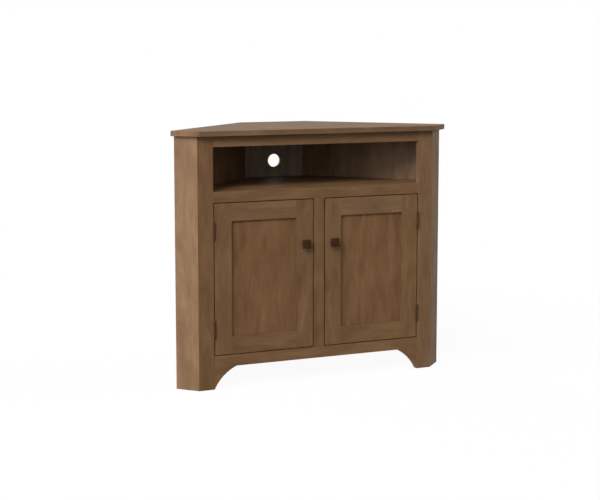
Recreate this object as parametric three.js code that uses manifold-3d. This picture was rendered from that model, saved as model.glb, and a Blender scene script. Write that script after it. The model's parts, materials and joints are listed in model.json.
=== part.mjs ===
// Corner TV cabinet in stained hardwood: a flat face with two inset doors below an open component bay, an angled
// return at each end, side walls running back at 45 degrees to a narrow back, and an overhanging top.
// Millimetres. X runs to the right, Y to the back and Z up. The origin is on the floor, below the middle of the top.

import * as THREE from "three";
import { mergeVertices } from "three/addons/utils/BufferGeometryUtils.js";
import Module from "manifold-3d";

const wasm = await Module();
wasm.setup();

// Overall sizes. The face runs from corner to corner, and a return is measured along its own face.
const cabinetHeight = 914;
const faceWidth = 914;
const returnWidth = 90;
const bodyDepth = 450;
const wallAngle = Math.PI / 4;

// Board thicknesses.
const topThickness = 19;
const frameThickness = 19;
const sideThickness = 19;
const deckThickness = 19;
const floorThickness = 19;
const shelfThickness = 19;
const backThickness = 12;
const doorThickness = 19;

// How far the top reaches past the face, the returns, the side walls and the back.
const topFrontOverhang = 25;
const topReturnOverhang = 19;
const topWallOverhang = 3;
const topBackOverhang = 3;
const topEasedEdge = 1.5;

// Face frame.
const stileWidth = 57;
const centreStileWidth = 41;
const topRailHeight = 38;
const bayHeight = 156;
const shelfRailHeight = 38;
const bottomRailHeight = 41;

// The arch under the bottom rail and under each side wall: a curved run at each foot, and a straight middle.
const archRise = 79;
const archRun = 82.5;
const archRadius = 160;
const sideFootWidth = 57;

// Joints in the carcass.
const fitGap = 0.3;
const dadoDepth = 6;
const backLip = 7;
const cleatSize = 19;
const cleatInset = 25;

// Cable hole in the back panel, with its height over the deck.
const cableHoleRadius = 25.5;
const cableHoleHeight = 63;

// Adjustable shelf, its pins and the rows of holes that they fit. The insets run along the wall, from the shelf's
// front edge and from the back panel.
const shelfSetback = 100;
const pinRowsHeight = 327;
const pinSpacing = 32;
const pinHoleCount = 5;
const pinHoleInUse = 2;
const frontPinInset = 60;
const rearPinInset = 108;
const pinHoleRadius = 2.8;
const pinHoleDepth = 10;
const pinShankRadius = 2.5;
const pinPegRadius = 3;
const pinPegLength = 10;
const pinCollarRadius = 4.5;
const pinCollarThickness = 1.5;

// Doors: stiles and rails grooved for a flat panel, which stands well back from the door's face.
const doorGap = 3;
const doorStileWidth = 64;
const doorRailWidth = 64;
const grooveWidth = 6.6;
const grooveDepth = 10;
const grooveBackLip = 3.5;
const panelPlay = 1;

// Butt hinges, each with a frame leaf, a door leaf and a pin.
const hingeLength = 62;
const hingeTopInset = 96;
const hingeBottomInset = 90;
const barrelRadius = 3.5;
const boreRadius = 1.9;
const hingePinRadius = 1.5;
const pinTipRadius = 2.6;
const pinTipHeight = 1.5;
const leafWidth = 16;
const leafThickness = 1.6;
const leafProud = 1.1;
const knuckleCount = 5;
const knuckleGap = 0.3;

// Square knobs on turned necks, and the screws that hold them.
const knobHeadWidth = 27;
const knobHeadThickness = 8;
const knobProjection = 24;
const knobDrop = 159;
const knobEdge = 2;
const knobEdgeDepth = 1.5;
const knobFootRadius = 9;
const knobFootThickness = 2;
const knobNeckRadius = 5.5;
const knobFlareRadius = 10;
const knobFlareLength = 4;
const knobBoreRadius = 2.4;
const knobBoreDepth = 14;
const screwRadius = 2;
const screwHoleRadius = 2.5;
const screwHeadRadius = 4.5;
const screwHeadHeight = 2.5;
const screwTipGap = 2;

// Magnetic catches behind the centre stile, and the strike plates on the doors.
const catchHeight = 46;
const catchDrop = 40;
const catchDepth = 13;
const catchReach = 44;
const catchSplit = 1;
const strikeHeight = 38;
const strikeWidth = 16;
const strikeInset = 2;
const strikeThickness = 1.2;

// How far a cutting shape runs past what it cuts, and how finely round things are faceted.
const cutOverrun = 5;
const archSegments = 8;
const holeSides = 24;
const smallSides = 12;
const barrelSides = 16;

// Levels, from the floor up.
const underTop = cabinetHeight - topThickness;
const bayCeiling = underTop - topRailHeight;
const deckTop = bayCeiling - bayHeight;
const doorwayTop = deckTop - shelfRailHeight;
const doorwayBottom = archRise + bottomRailHeight;
const doorBottom = doorwayBottom + doorGap;
const doorHeight = doorwayTop - doorwayBottom - 2 * doorGap;
const hingeLevels = { lower: doorBottom + hingeBottomInset, upper: doorwayTop - doorGap - hingeTopInset };

// Widths across the face.
const halfFace = faceWidth / 2;
const halfOpening = halfFace - stileWidth;
const doorWidth = halfOpening - centreStileWidth / 2 - 2 * doorGap;

// Where the groove for the door's panel lies, from the door's face.
const grooveRear = doorThickness - grooveBackLip;
const grooveFront = grooveRear - grooveWidth;

// The right-hand outer corner, where the return ends and the side wall starts. From there u runs back along the
// wall's outer face and v runs straight into the body, so the return lies along v and the wall along u.
const tipX = halfFace + returnWidth * Math.cos(wallAngle);
const tipY = returnWidth * Math.sin(wallAngle);
const backInside = bodyDepth - backThickness;

function wallPoint(u, v) {
  const x = tipX - u * Math.sin(wallAngle) - v * Math.cos(wallAngle);
  const y = tipY + u * Math.cos(wallAngle) - v * Math.sin(wallAngle);
  return [x, y];
}

function fromWall([x, y]) {
  const u = (y - tipY) * Math.cos(wallAngle) - (x - tipX) * Math.sin(wallAngle);
  const v = (tipX - x) * Math.cos(wallAngle) + (tipY - y) * Math.sin(wallAngle);
  return [u, v];
}

// How far along the wall a line at the inset v reaches the depth y.
function wallLengthTo(y, v) {
  return (y - tipY + v * Math.sin(wallAngle)) / Math.cos(wallAngle);
}

// The point at depth y on a line that follows the return at the distance u behind its face.
function returnPoint(u, y) {
  return wallPoint(u, (tipY + u * Math.cos(wallAngle) - y) / Math.sin(wallAngle));
}

const wallEnd = wallLengthTo(bodyDepth, 0);
const halfBack = wallPoint(wallEnd, 0)[0] - backLip;
const pinDistances = {
  front: wallLengthTo(shelfSetback, sideThickness) + frontPinInset,
  rear: wallLengthTo(backInside, sideThickness) - rearPinInset,
};

// Materials.
const stainedWood = new THREE.MeshStandardMaterial({ color: 0x7d5a3c, roughness: 0.5, metalness: 0 });
const doorPanelWood = new THREE.MeshStandardMaterial({ color: 0x785437, roughness: 0.5, metalness: 0 });
const bronze = new THREE.MeshStandardMaterial({ color: 0x3a2a1e, roughness: 0.45, metalness: 0.8 });
const steel = new THREE.MeshStandardMaterial({ color: 0xa8a8a6, roughness: 0.35, metalness: 1 });
const catchPlastic = new THREE.MeshStandardMaterial({ color: 0x2b221b, roughness: 0.6, metalness: 0 });

// A closed outline through a list of points.
function outline(points) {
  return new THREE.Shape(points.map(([x, y]) => new THREE.Vector2(x, y)));
}

// An outline that is the same on both sides of the middle, from its right-hand points listed front to back.
function symmetricOutline(rightPoints) {
  const leftPoints = rightPoints.map(([x, y]) => [-x, y]).reverse();
  return outline([...rightPoints, ...leftPoints]);
}

// A board whose outline is seen from above, rising from z = 0.
function plan(shape, height) {
  return new THREE.ExtrudeGeometry(shape, { depth: height, bevelEnabled: false });
}

// A board whose outline is seen from the front, from y = 0 to the back.
function elevation(shape, thickness) {
  const options = { depth: thickness, bevelEnabled: false, curveSegments: archSegments };
  const geometry = new THREE.ExtrudeGeometry(shape, options);
  geometry.rotateX(Math.PI / 2);
  geometry.translate(0, thickness, 0);
  return geometry;
}

function box(from, to) {
  const size = from.map((value, i) => Math.abs(to[i] - value));
  const middle = from.map((value, i) => (value + to[i]) / 2);
  return new THREE.BoxGeometry(...size).translate(...middle);
}

// A round bar along Y or Z between two stations of that axis.
function barAlongY(radius, from, to, sides) {
  const length = Math.abs(to - from);
  return new THREE.CylinderGeometry(radius, radius, length, sides).translate(0, (from + to) / 2, 0);
}

function barAlongZ(radius, from, to, sides) {
  return barAlongY(radius, -from, -to, sides).rotateX(-Math.PI / 2);
}

// A turned piece about Y. The profile lists radius and station, and starts and ends on the axis.
function turned(profile, sides) {
  const points = profile.map(([radius, station]) => new THREE.Vector2(radius, station));
  return new THREE.LatheGeometry(points, sides);
}

function solidOf(geometry) {
  const bare = new THREE.BufferGeometry();
  bare.setAttribute("position", geometry.getAttribute("position"));
  bare.setIndex(geometry.getIndex());
  const merged = mergeVertices(bare);
  const vertProperties = merged.getAttribute("position").array;
  const triVerts = new Uint32Array(merged.getIndex().array);
  return new wasm.Manifold(new wasm.Mesh({ numProp: 3, vertProperties, triVerts }));
}

function geometryOf(solid) {
  const mesh = solid.getMesh();
  const shared = new THREE.BufferGeometry();
  shared.setAttribute("position", new THREE.BufferAttribute(mesh.vertProperties, 3));
  shared.setIndex(new THREE.BufferAttribute(mesh.triVerts, 1));
  const flat = shared.toNonIndexed();
  flat.computeVertexNormals();
  return flat;
}

function join(pieces) {
  return geometryOf(pieces.map(solidOf).reduce((sum, piece) => sum.add(piece)));
}

function cut(body, tools) {
  return geometryOf(tools.map(solidOf).reduce((rest, tool) => rest.subtract(tool), solidOf(body)));
}

// Puts a named piece into its group at a place.
function place(parent, name, geometry, material, position = [0, 0, 0]) {
  const mesh = new THREE.Mesh(geometry, material);
  mesh.name = name;
  mesh.position.set(...position);
  parent.add(mesh);
  return mesh;
}

// An outline that stands on the floor from start to end, with an arch cut up into it between its two feet.
function archedOutline(start, end, archStart, archEnd, height) {
  const chord = Math.hypot(archRun, archRise);
  const sagitta = Math.sqrt(archRadius ** 2 - (chord / 2) ** 2);
  const inset = archRun / 2 + (sagitta * archRise) / chord;
  const level = archRise / 2 - (sagitta * archRun) / chord;
  const footAngle = Math.atan2(-level, -inset);
  const crownAngle = Math.atan2(archRise - level, archRun - inset);
  const shape = new THREE.Shape();
  shape.moveTo(start, 0);
  shape.lineTo(archStart, 0);
  shape.absarc(archStart + inset, level, archRadius, footAngle, crownAngle, true);
  shape.absarc(archEnd - inset, level, archRadius, Math.PI - crownAngle, Math.PI - footAngle, true);
  shape.lineTo(end, 0);
  shape.lineTo(end, height);
  shape.lineTo(start, height);
  return shape;
}

// The face frame's middle pieces, between the two outer stiles.
function addFaceFrame(parent) {
  const left = -halfOpening + fitGap;
  const right = halfOpening - fitGap;
  const apron = archedOutline(left, right, left, right, doorwayBottom);
  place(parent, "arched_bottom_rail", elevation(apron, frameThickness), stainedWood);
  const shelfRail = box([left, 0, doorwayTop], [right, frameThickness, deckTop]);
  place(parent, "shelf_rail", shelfRail, stainedWood);
  const topRail = box([left, 0, bayCeiling], [right, frameThickness, underTop - fitGap]);
  place(parent, "top_rail", topRail, stainedWood);
  const side = centreStileWidth / 2;
  const foot = [-side, 0, doorwayBottom + fitGap];
  const head = [side, frameThickness, doorwayTop - fitGap];
  place(parent, "centre_stile", box(foot, head), stainedWood);
}

// The overhanging top, with its edges eased all round.
function addTop(parent) {
  const shape = symmetricOutline([
    returnPoint(-topReturnOverhang, -topFrontOverhang),
    wallPoint(-topReturnOverhang, -topWallOverhang),
    wallPoint(wallLengthTo(bodyDepth + topBackOverhang, -topWallOverhang), -topWallOverhang),
  ]);
  const geometry = new THREE.ExtrudeGeometry(shape, {
    depth: topThickness - 2 * topEasedEdge,
    bevelThickness: topEasedEdge,
    bevelSize: topEasedEdge,
    bevelOffset: -topEasedEdge,
    bevelSegments: 2,
  });
  place(parent, "top_panel", geometry, stainedWood, [0, 0, underTop + topEasedEdge]);
}

// The deck of the component bay and the cabinet's floor: both butt against the face frame, the returns and the
// back, and stand in grooves in the side walls.
function addFixedShelves(parent) {
  const edge = sideThickness - dadoDepth + fitGap;
  const front = frameThickness + fitGap;
  const shape = symmetricOutline([
    returnPoint(front, front),
    wallPoint(front, edge),
    wallPoint(wallLengthTo(backInside - fitGap, edge), edge),
  ]);
  const deckLevel = deckTop - deckThickness;
  const floorLevel = doorwayBottom - floorThickness;
  place(parent, "component_shelf", plan(shape, deckThickness), stainedWood, [0, 0, deckLevel]);
  place(parent, "bottom_panel", plan(shape, floorThickness), stainedWood, [0, 0, floorLevel]);
}

// The back panel, from the cabinet's floor to the top, with the cable hole into the component bay.
function addBack(parent) {
  const bottom = doorwayBottom - floorThickness;
  const panel = box([-halfBack, 0, 0], [halfBack, backThickness, underTop - fitGap - bottom]);
  const hole = barAlongY(cableHoleRadius, -cutOverrun, backThickness + cutOverrun, holeSides);
  hole.translate(0, 0, deckTop + cableHoleHeight - bottom);
  place(parent, "back_panel", cut(panel, [hole]), stainedWood, [0, backInside, bottom]);
}

// The adjustable shelf, which rests on four pins.
function addAdjustableShelf(parent) {
  const edge = sideThickness + pinCollarThickness + fitGap;
  const back = backInside - pinCollarThickness;
  const shape = symmetricOutline([
    wallPoint(wallLengthTo(shelfSetback, edge), edge),
    wallPoint(wallLengthTo(back, edge), edge),
  ]);
  const level = pinRowsHeight + pinHoleInUse * pinSpacing + pinPegRadius + fitGap;
  place(parent, "adjustable_shelf", plan(shape, shelfThickness), stainedWood, [0, 0, level]);
}

// The outer stile of the face frame, mitred to the return and let in for two hinge leaves.
function addStile(parent, side) {
  const mitre = frameThickness * Math.tan(wallAngle / 2);
  const outer = halfFace - fitGap / 2;
  const shape = outline([
    [halfOpening, 0],
    [outer, 0],
    [outer - mitre, frameThickness],
    [halfOpening, frameThickness],
  ]);
  const mortises = Object.values(hingeLevels).map((level) => leafMortise(halfOpening, 1, level));
  const geometry = cut(plan(shape, underTop - fitGap), mortises);
  place(parent, `${side}_stile`, geometry, stainedWood);
}

// The recess for a hinge leaf in an edge that faces the door gap. The wood lies on the side that towards gives.
function leafMortise(edge, towards, level) {
  const depth = leafThickness - leafProud + fitGap;
  const reach = hingeLength / 2 + fitGap;
  const from = [edge - towards * cutOverrun, -cutOverrun, level - reach];
  const to = [edge + towards * depth, leafWidth + fitGap, level + reach];
  return box(from, to);
}

// The return, which stands at an angle to the face and covers the front edge of the side wall.
function addReturn(parent, side) {
  const mitre = frameThickness * Math.tan(wallAngle / 2);
  const inner = returnWidth - fitGap / 2;
  const shape = outline([
    [0, 0],
    [frameThickness, 0],
    [frameThickness, inner - mitre],
    [0, inner],
  ]);
  place(parent, `${side}_return`, plan(shape, underTop - fitGap), stainedWood);
}

// The side wall: arched between its feet, grooved for the two fixed shelves, rebated for the back and drilled
// for shelf pins. Its rear edge is cut square to the cabinet's depth.
function addSideWall(parent, side) {
  const start = frameThickness + fitGap;
  const end = wallLengthTo(bodyDepth, sideThickness);
  const height = underTop - fitGap;
  const shape = archedOutline(start, end, sideFootWidth, wallEnd - sideFootWidth, height);
  const tools = [rearEdgeTool(height, end), backRebateTool(height)];
  const groove = sideThickness - dadoDepth;
  const inside = sideThickness + cutOverrun;
  for (const [under, thickness] of [
    [deckTop - deckThickness, deckThickness],
    [doorwayBottom - floorThickness, floorThickness],
  ]) {
    const from = [start - cutOverrun, groove, under - fitGap];
    tools.push(box(from, [end + cutOverrun, inside, under + thickness + fitGap]));
  }
  for (const distance of Object.values(pinDistances)) {
    for (let row = 0; row < pinHoleCount; row++) {
      const hole = barAlongY(pinHoleRadius, sideThickness - pinHoleDepth, inside, smallSides);
      tools.push(hole.translate(distance, 0, pinRowsHeight + row * pinSpacing));
    }
  }
  place(parent, `${side}_side`, cut(elevation(shape, sideThickness), tools), stainedWood);
}

// All of the wall that lies behind the body's rear plane.
function rearEdgeTool(height, end) {
  const shape = outline([
    [wallEnd, 0],
    [wallEnd - cutOverrun * Math.tan(wallAngle), -cutOverrun],
    [end + cutOverrun, -cutOverrun],
    [end + cutOverrun, sideThickness + cutOverrun],
    [end + cutOverrun * Math.tan(wallAngle), sideThickness + cutOverrun],
  ]);
  return plan(shape, height + 2 * cutOverrun).translate(0, 0, -cutOverrun);
}

// The rebate that takes the back panel's edge.
function backRebateTool(height) {
  const bottom = doorwayBottom - floorThickness - fitGap;
  const front = backInside - fitGap;
  const rear = bodyDepth + cutOverrun;
  const outer = halfBack + fitGap;
  const inner = outer - 2 * sideThickness;
  const corners = [[outer, front], [outer, rear], [inner, rear], [inner, front]];
  return plan(outline(corners.map(fromWall)), height - bottom + cutOverrun).translate(0, 0, bottom);
}

// The strip that the top is screwed to, along the head of the side wall.
function addTopCleat(parent, side) {
  const inside = sideThickness + fitGap;
  const head = underTop - fitGap;
  const from = [frameThickness + cleatInset, inside, head - cleatSize];
  const to = [wallLengthTo(backInside, sideThickness) - cleatInset, inside + cleatSize, head];
  place(parent, `${side}_top_cleat`, box(from, to), stainedWood);
}

// Two shelf pins in the wall: a shank in the hole, a collar on the wall and a peg under the shelf.
function addShelfPins(parent, side) {
  const pegEnd = pinCollarThickness + pinPegLength;
  const profile = [
    [0, fitGap - pinHoleDepth],
    [pinShankRadius, fitGap - pinHoleDepth],
    [pinShankRadius, fitGap],
    [pinCollarRadius, fitGap],
    [pinCollarRadius, pinCollarThickness],
    [pinPegRadius, pinCollarThickness],
    [pinPegRadius, pegEnd],
    [0, pegEnd],
  ];
  const height = pinRowsHeight + pinHoleInUse * pinSpacing;
  for (const [end, distance] of Object.entries(pinDistances)) {
    const name = `${side}_${end}_shelf_pin`;
    place(parent, name, turned(profile, smallSides), steel, [distance, sideThickness, height]);
  }
}

// One leaf of a butt hinge about its own pin axis. Its plate lies on the side that towards gives, and it carries
// every second knuckle from the given first one.
function hingeLeaf(towards, firstKnuckle) {
  const near = towards * (doorGap / 2 - leafProud);
  const far = near + towards * leafThickness;
  const root = barrelRadius + knuckleGap;
  const half = hingeLength / 2;
  const pitch = (hingeLength + knuckleGap) / knuckleCount;
  const pieces = [box([near, root, -half], [far, barrelRadius + leafWidth, half])];
  for (let knuckle = firstKnuckle; knuckle < knuckleCount; knuckle += 2) {
    const bottom = knuckle * pitch - half;
    const top = bottom + pitch - knuckleGap;
    pieces.push(barAlongZ(barrelRadius, bottom, top, barrelSides));
    pieces.push(box([near, 0, bottom], [far, root + knuckleGap, top]));
  }
  const bore = barAlongZ(boreRadius, -half - cutOverrun, half + cutOverrun, smallSides);
  return cut(join(pieces), [bore]);
}

// The hinge pin with a button at each end.
function hingePin() {
  const end = hingeLength / 2 + knuckleGap;
  const tip = end + pinTipHeight;
  const profile = [
    [0, -tip],
    [pinTipRadius, -tip],
    [pinTipRadius, -end],
    [hingePinRadius, -end],
    [hingePinRadius, end],
    [pinTipRadius, end],
    [pinTipRadius, tip],
    [0, tip],
  ];
  return turned(profile, smallSides).rotateX(Math.PI / 2);
}

// The pins and the leaves that stay with the face frame.
function addFrameHinges(parent, side) {
  for (const [end, level] of Object.entries(hingeLevels)) {
    const name = `${side}_${end}_hinge`;
    place(parent, `${name}_frame_leaf`, hingeLeaf(1, 0), bronze, [0, 0, level]);
    place(parent, `${name}_pin`, hingePin(), bronze, [0, 0, level]);
  }
}

// The magnetic catch: a housing screwed behind the centre stile that reaches over the back of the door.
function addCatch(parent, side) {
  const foot = frameThickness + fitGap;
  const face = doorThickness + strikeThickness + 2 * fitGap;
  const rear = Math.max(foot, face) + catchDepth;
  const step = centreStileWidth / 2;
  const shape = outline([
    [catchSplit, foot],
    [step - catchSplit, foot],
    [step - catchSplit, face],
    [catchReach, face],
    [catchReach, rear],
    [catchSplit, rear],
  ]);
  const bottom = doorwayTop - catchDrop - catchHeight;
  place(parent, `${side}_magnetic_catch`, plan(shape, catchHeight), catchPlastic, [0, 0, bottom]);
}

// A door's stile, with its groove facing the panel. The stile fills x from 0 to its width.
function doorStile(grooveOnRight) {
  const bottom = doorStileWidth - grooveDepth;
  const points = [
    [0, 0],
    [doorStileWidth, 0],
    [doorStileWidth, grooveFront],
    [bottom, grooveFront],
    [bottom, grooveRear],
    [doorStileWidth, grooveRear],
    [doorStileWidth, doorThickness],
    [0, doorThickness],
  ];
  const turnedRound = points.map(([x, y]) => [doorStileWidth - x, y]).reverse();
  return plan(outline(grooveOnRight ? points : turnedRound), doorHeight);
}

// A door's rail: a stub tongue at each end fits the stiles' grooves, and its own groove faces the panel.
function doorRail(grooveOnTop) {
  const length = doorWidth - 2 * doorStileWidth;
  const tongue = grooveDepth - fitGap;
  const body = box([fitGap, 0, 0], [length - fitGap, doorThickness, doorRailWidth]);
  const tongueFrom = [-tongue, grooveFront + fitGap, 0];
  const tongues = box(tongueFrom, [length + tongue, grooveRear - fitGap, doorRailWidth]);
  const inner = grooveOnTop ? doorRailWidth - grooveDepth : grooveDepth;
  const outer = grooveOnTop ? doorRailWidth + cutOverrun : -cutOverrun;
  const overrun = tongue + cutOverrun;
  const groove = box([-overrun, grooveFront, inner], [length + overrun, grooveRear, outer]);
  return cut(join([body, tongues]), [groove]);
}

// The wood of one door. Its own x runs from the lock edge to the hinge edge, and z from its bottom edge.
function addDoorWood(parent, side) {
  const hingeStileAt = doorWidth - doorStileWidth;
  const holeHeight = doorHeight - knobDrop;
  const hole = barAlongY(screwHoleRadius, -cutOverrun, doorThickness + cutOverrun, smallSides);
  hole.translate(doorStileWidth / 2, 0, holeHeight);
  place(parent, `${side}_door_lock_stile`, cut(doorStile(true), [hole]), stainedWood);
  const mortises = Object.values(hingeLevels).map((level) => {
    return leafMortise(doorStileWidth, -1, level - doorBottom);
  });
  const hingeStile = cut(doorStile(false), mortises);
  place(parent, `${side}_door_hinge_stile`, hingeStile, stainedWood, [hingeStileAt, 0, 0]);
  const topRailAt = [doorStileWidth, 0, doorHeight - doorRailWidth];
  place(parent, `${side}_door_top_rail`, doorRail(false), stainedWood, topRailAt);
  place(parent, `${side}_door_bottom_rail`, doorRail(true), stainedWood, [doorStileWidth, 0, 0]);
  const held = grooveDepth - panelPlay;
  const from = [doorStileWidth - held, grooveFront + fitGap, doorRailWidth - held];
  const to = [hingeStileAt + held, grooveRear - fitGap, doorHeight - doorRailWidth + held];
  place(parent, `${side}_door_panel`, box(from, to), doorPanelWood);
}

// The knob: a square head with softened edges on a turned neck, drilled from behind for its screw.
function knob() {
  const half = knobHeadWidth / 2;
  const head = new THREE.ExtrudeGeometry(outline([[-half, -half], [half, -half], [half, half], [-half, half]]), {
    depth: knobHeadThickness - 2 * knobEdgeDepth,
    bevelThickness: knobEdgeDepth,
    bevelSize: knobEdge,
    bevelOffset: -knobEdge,
    bevelSegments: 3,
  });
  head.rotateX(Math.PI / 2);
  const headBack = -(knobProjection - knobHeadThickness);
  head.translate(0, headBack - knobEdgeDepth, 0);
  const neck = turned(
    [
      [0, headBack - knobEdgeDepth],
      [knobFlareRadius, headBack - knobEdgeDepth],
      [knobFlareRadius, headBack],
      [knobNeckRadius, headBack + knobFlareLength],
      [knobNeckRadius, -2 * knobFootThickness],
      [knobFootRadius, -knobFootThickness],
      [knobFootRadius, -fitGap],
      [0, -fitGap],
    ],
    holeSides,
  );
  const bore = barAlongY(knobBoreRadius, -knobBoreDepth, cutOverrun, smallSides);
  return cut(join([head, neck]), [bore]);
}

// The screw through the lock stile into the knob, with its head on the back of the door.
function knobScrew() {
  const seat = doorThickness + fitGap;
  const tip = screwTipGap - knobBoreDepth;
  const profile = [
    [0, tip],
    [screwRadius, tip],
    [screwRadius, seat],
    [screwHeadRadius, seat],
    [screwHeadRadius, seat + screwHeadHeight / 2],
    [screwHeadRadius / 2, seat + screwHeadHeight],
    [0, seat + screwHeadHeight],
  ];
  return turned(profile, smallSides);
}

// A door about its hinge axis: the wood, the knob with its screw, the strike plate and its hinge leaves.
function addDoor(parent, side) {
  const door = new THREE.Group();
  door.position.set(halfOpening - doorGap / 2, -barrelRadius, 0);
  parent.add(door);
  const wood = new THREE.Group();
  wood.position.set(-doorGap / 2 - doorWidth, barrelRadius, doorBottom);
  door.add(wood);
  addDoorWood(wood, side);
  const knobAt = [doorStileWidth / 2, 0, doorHeight - knobDrop];
  place(wood, `${side}_door_knob`, knob(), bronze, knobAt);
  place(wood, `${side}_door_knob_screw`, knobScrew(), steel, knobAt);
  const strikeMiddle = doorwayTop - catchDrop - catchHeight / 2 - doorBottom;
  const strikeFront = doorThickness + fitGap;
  const from = [strikeInset, strikeFront, strikeMiddle - strikeHeight / 2];
  const to = [strikeInset + strikeWidth, strikeFront + strikeThickness, strikeMiddle + strikeHeight / 2];
  place(wood, `${side}_door_strike_plate`, box(from, to), steel);
  for (const [end, level] of Object.entries(hingeLevels)) {
    place(door, `${side}_${end}_hinge_door_leaf`, hingeLeaf(-1, 1), bronze, [0, 0, level]);
  }
}

// Everything that has a twin on the other side, built as the right-hand one.
function half(side) {
  const group = new THREE.Group();
  addStile(group, side);
  addCatch(group, side);
  const wall = new THREE.Group();
  wall.position.set(tipX, tipY, 0);
  wall.rotation.z = Math.PI / 2 + wallAngle;
  group.add(wall);
  addReturn(wall, side);
  addSideWall(wall, side);
  addTopCleat(wall, side);
  addShelfPins(wall, side);
  const hinges = new THREE.Group();
  hinges.position.set(halfOpening - doorGap / 2, -barrelRadius, 0);
  group.add(hinges);
  addFrameHinges(hinges, side);
  addDoor(group, side);
  return group;
}

// The whole cabinet, moved so that the origin lies below the middle of its outer box.
const cabinet = new THREE.Group();
addTop(cabinet);
addFaceFrame(cabinet);
addFixedShelves(cabinet);
addBack(cabinet);
addAdjustableShelf(cabinet);
cabinet.add(half("right"));
const leftHalf = half("left");
leftHalf.scale.x = -1;
cabinet.add(leftHalf);
const foremost = Math.max(topFrontOverhang, knobProjection, 2 * barrelRadius);
cabinet.position.y = (foremost - bodyDepth - topBackOverhang) / 2;

export default cabinet;
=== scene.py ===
# %% [markdown]
# # A corner TV cabinet in stained maple
#
# The real cabinet is a joiner's piece: a flat face frame with two inset doors under an open bay, an angled
# return at each end, side walls that run back at 45 degrees to a narrow back, and an overhanging top. The
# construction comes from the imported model, so this lesson adds what the model has not: eased edges, grain that
# runs the right way on every board, bronze, steel, screws, a floor, lamps and a camera.
#
# Everything is in metres. X runs to the right, Y to the back and Z up, and the floor is at zero.

import json
import math
import random

import bmesh
import bpy
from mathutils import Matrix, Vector

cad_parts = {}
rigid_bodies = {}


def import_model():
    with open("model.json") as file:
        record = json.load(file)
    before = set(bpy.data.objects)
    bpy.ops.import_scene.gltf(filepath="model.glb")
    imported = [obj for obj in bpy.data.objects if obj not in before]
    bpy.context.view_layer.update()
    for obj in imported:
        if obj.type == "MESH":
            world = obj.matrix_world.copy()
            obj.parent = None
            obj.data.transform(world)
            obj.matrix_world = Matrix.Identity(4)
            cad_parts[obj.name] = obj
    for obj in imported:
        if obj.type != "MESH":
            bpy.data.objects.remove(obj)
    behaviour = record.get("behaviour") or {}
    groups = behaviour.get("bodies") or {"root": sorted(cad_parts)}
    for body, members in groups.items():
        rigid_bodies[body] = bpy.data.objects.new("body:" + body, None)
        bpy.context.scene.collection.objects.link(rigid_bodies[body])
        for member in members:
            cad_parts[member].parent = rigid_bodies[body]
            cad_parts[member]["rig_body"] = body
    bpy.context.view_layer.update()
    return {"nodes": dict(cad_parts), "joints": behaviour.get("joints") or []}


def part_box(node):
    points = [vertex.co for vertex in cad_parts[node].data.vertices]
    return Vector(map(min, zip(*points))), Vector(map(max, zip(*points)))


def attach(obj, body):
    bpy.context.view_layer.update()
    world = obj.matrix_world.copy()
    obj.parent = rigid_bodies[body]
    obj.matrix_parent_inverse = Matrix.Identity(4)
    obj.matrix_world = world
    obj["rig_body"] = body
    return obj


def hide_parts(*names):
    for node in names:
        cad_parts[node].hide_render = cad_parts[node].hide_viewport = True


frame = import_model()
nodes = frame["nodes"]
MM = 0.001
print("pieces in the frame:", len(nodes))

# %% [markdown]
# ## The camera
#
# The picture was taken from the left of the cabinet, a little above its top, with a long lens. The upright edges
# stay nearly parallel in it, which a tilted camera can't do, so the photographer's frame was shifted upwards.
# A Blender camera does the same with its shift. Only a part of that shift is used here, because the other views
# keep it and would lose the object from their frame. The rest is made up by a small tilt.
#
# Place, lens and turn were fitted to points measured along the cabinet's edges. Angles are in degrees.

# %% Camera
IMAGE_WIDTH = 600
FOCAL_PIXELS = 1292.8
AXIS_ABOVE_MIDDLE = 50
SENSOR_WIDTH = 36.0
CAMERA_PLACE = (-1.8409, -4.4367, 1.1882)
TILT_DOWN = 6.595
TURN_RIGHT = 22.703
FARTHEST_SEEN = 100.0

lens = bpy.data.cameras.new("camera")
lens.sensor_width = SENSOR_WIDTH
lens.lens = FOCAL_PIXELS * SENSOR_WIDTH / IMAGE_WIDTH
lens.shift_y = -AXIS_ABOVE_MIDDLE / IMAGE_WIDTH
lens.clip_end = FARTHEST_SEEN
camera = bpy.data.objects.new("camera", lens)
camera.location = CAMERA_PLACE
camera.rotation_euler = (math.radians(90 - TILT_DOWN), 0, math.radians(-TURN_RIGHT))
bpy.context.scene.collection.objects.link(camera)
bpy.context.scene.camera = camera
bpy.context.scene.view_settings.view_transform = "Standard"
print("lens in millimetres:", round(lens.lens, 1))

# %% [markdown]
# ## Small helpers
#
# Colours are written as they are picked from a screen, in sRGB hex, while shaders count in linear light, so one
# function turns the one into the other. A second function adds any node: settings go in as keywords, and inputs
# as plain values or as the sockets that feed them. A third starts a material with an empty tree. Every material
# below is built with these.


# %% Colour and node helpers
def linear(hex_colour):
    """An sRGB hex colour as linear RGBA."""
    channels = [int(hex_colour[i:i + 2], 16) / 255 for i in (1, 3, 5)]
    return [c / 12.92 if c <= 0.04045 else ((c + 0.055) / 1.055) ** 2.4 for c in channels] + [1.0]


def add(tree, kind, inputs=None, **settings):
    """A new node of any kind, with its settings, and its inputs as values or as sockets to link from."""
    made = tree.nodes.new(kind)
    for name, value in settings.items():
        setattr(made, name, value)
    for name, value in (inputs or {}).items():
        if isinstance(value, bpy.types.NodeSocket):
            tree.links.new(value, made.inputs[name])
        else:
            made.inputs[name].default_value = value
    return made


def new_material(name):
    """An empty material and its node tree."""
    material = bpy.data.materials.new(name)
    material.use_nodes = True
    material.node_tree.nodes.clear()
    return material, material.node_tree


print("mid brown, linear:", [round(c, 3) for c in linear("#6b4e36")])

# %% [markdown]
# ## Floor and background
#
# The picture has a plain white ground. Floor and world therefore show white to the camera, also by way of a
# reflection, while the light that they give the cabinet is set on its own. Light Path tells the two apart, so
# one function serves both.

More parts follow.
